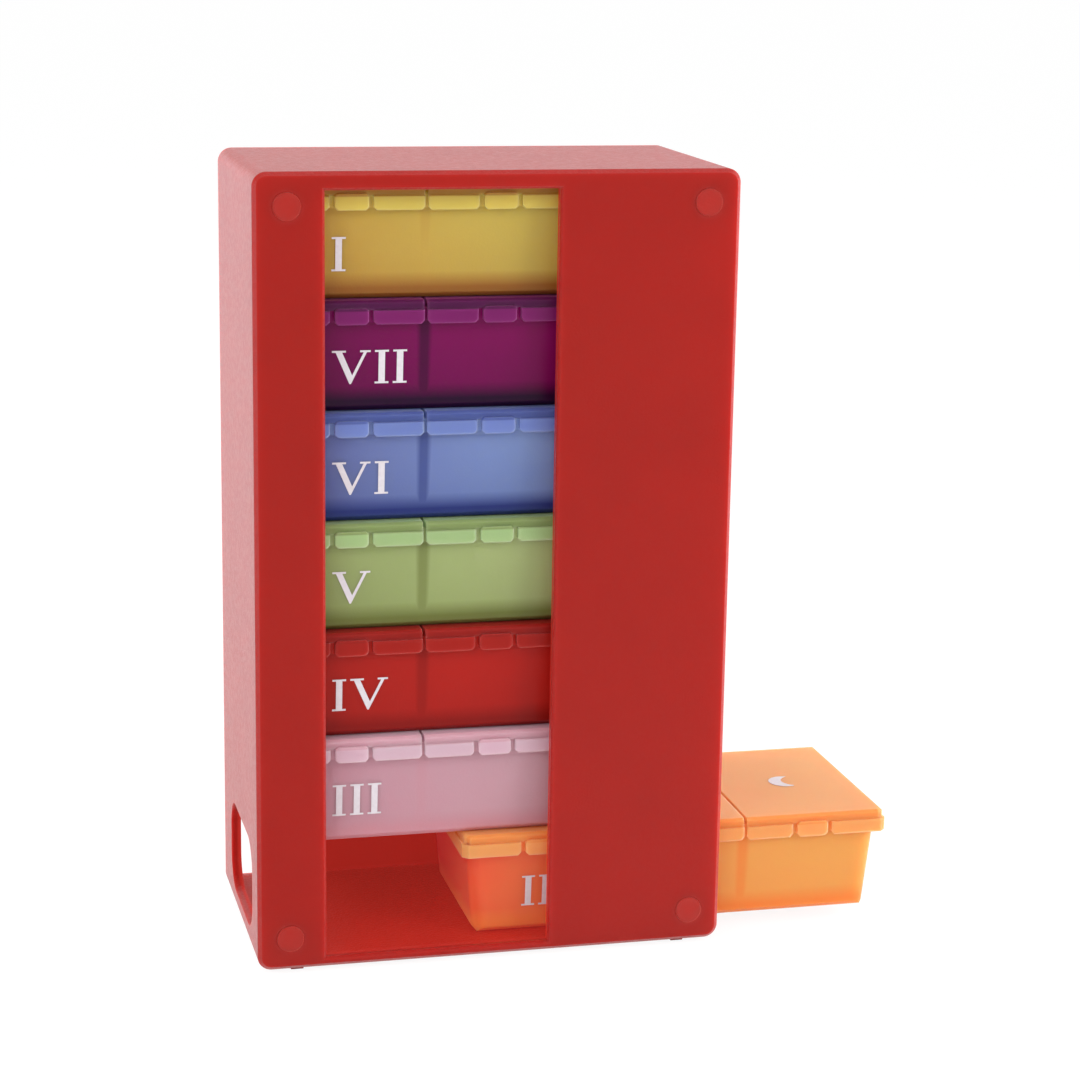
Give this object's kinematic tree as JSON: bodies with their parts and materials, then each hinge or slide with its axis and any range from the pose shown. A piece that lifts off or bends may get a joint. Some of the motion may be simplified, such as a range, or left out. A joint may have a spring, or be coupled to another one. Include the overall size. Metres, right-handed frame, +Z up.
{
  "type": "weekly pill organizer",
  "caption": "Upright pill tower: a red open-sided case with a front window holds stacked coloured day trays with lidded compartments, and the lowest tray slides out.",
  "frame": {"origin": "on the table, under the middle of the part's box with the lowest tray part of the way out", "axes": "+X towards the open side that the trays come out of, +Y to the back, +Z up"},
  "size_m": [0.1046, 0.0404, 0.1252],
  "materials": {
    "case": "fine matt grain, slightly see-through moulded plastic",
    "tuesday_plastic": "smooth, frosted see-through moulded plastic",
    "wednesday_plastic": "smooth, frosted see-through moulded plastic",
    "thursday_plastic": "smooth, frosted see-through moulded plastic",
    "friday_plastic": "smooth, frosted see-through moulded plastic",
    "saturday_plastic": "smooth, frosted see-through moulded plastic",
    "sunday_plastic": "smooth, frosted see-through moulded plastic",
    "monday_plastic": "smooth, frosted see-through moulded plastic"
  },
  "bodies": {
    "case": {"case_body": "case", "front_cover": "case"},
    "tuesday_tray": {"tuesday_tray": "tuesday_plastic", "tuesday_lid_morning": "tuesday_plastic", "tuesday_lid_noon": "tuesday_plastic"},
    "tuesday_evening_lid": {"tuesday_lid_evening": "tuesday_plastic"},
    "wednesday_tray": {"wednesday_tray": "wednesday_plastic", "wednesday_lid_morning": "wednesday_plastic", "wednesday_lid_noon": "wednesday_plastic", "wednesday_lid_evening": "wednesday_plastic"},
    "thursday_tray": {"thursday_tray": "thursday_plastic", "thursday_lid_morning": "thursday_plastic", "thursday_lid_noon": "thursday_plastic", "thursday_lid_evening": "thursday_plastic"},
    "friday_tray": {"friday_tray": "friday_plastic", "friday_lid_morning": "friday_plastic", "friday_lid_noon": "friday_plastic", "friday_lid_evening": "friday_plastic"},
    "saturday_tray": {"saturday_tray": "saturday_plastic", "saturday_lid_morning": "saturday_plastic", "saturday_lid_noon": "saturday_plastic", "saturday_lid_evening": "saturday_plastic"},
    "sunday_tray": {"sunday_tray": "sunday_plastic", "sunday_lid_morning": "sunday_plastic", "sunday_lid_noon": "sunday_plastic", "sunday_lid_evening": "sunday_plastic"},
    "monday_tray": {"monday_tray": "monday_plastic", "monday_lid_morning": "monday_plastic", "monday_lid_noon": "monday_plastic", "monday_lid_evening": "monday_plastic"}
  },
  "joints": [
    {"name": "tuesday_slide", "type": "slide", "parent": "case", "child": "tuesday_tray", "axis": [-1, 0, 0], "range_m": [-0.04175, 0.03075]},
    {"name": "tuesday_evening_lid_hinge", "type": "hinge", "parent": "tuesday_tray", "child": "tuesday_evening_lid", "pos_m": [0.03946, 0.01707, 0.01695], "axis": [1, 0, 0], "range_deg": [-120, 0]},
    {"name": "wednesday_slide", "type": "slide", "parent": "case", "child": "wednesday_tray", "axis": [1, 0, 0], "range_m": [0, 0.0725]},
    {"name": "thursday_slide", "type": "slide", "parent": "case", "child": "thursday_tray", "axis": [1, 0, 0], "range_m": [0, 0.0725]},
    {"name": "friday_slide", "type": "slide", "parent": "case", "child": "friday_tray", "axis": [1, 0, 0], "range_m": [0, 0.0725]},
    {"name": "saturday_slide", "type": "slide", "parent": "case", "child": "saturday_tray", "axis": [1, 0, 0], "range_m": [0, 0.0725]},
    {"name": "sunday_slide", "type": "slide", "parent": "case", "child": "sunday_tray", "axis": [1, 0, 0], "range_m": [0, 0.0725]},
    {"name": "monday_slide", "type": "slide", "parent": "case", "child": "monday_tray", "axis": [1, 0, 0], "range_m": [0, 0.0725]}
  ]
}
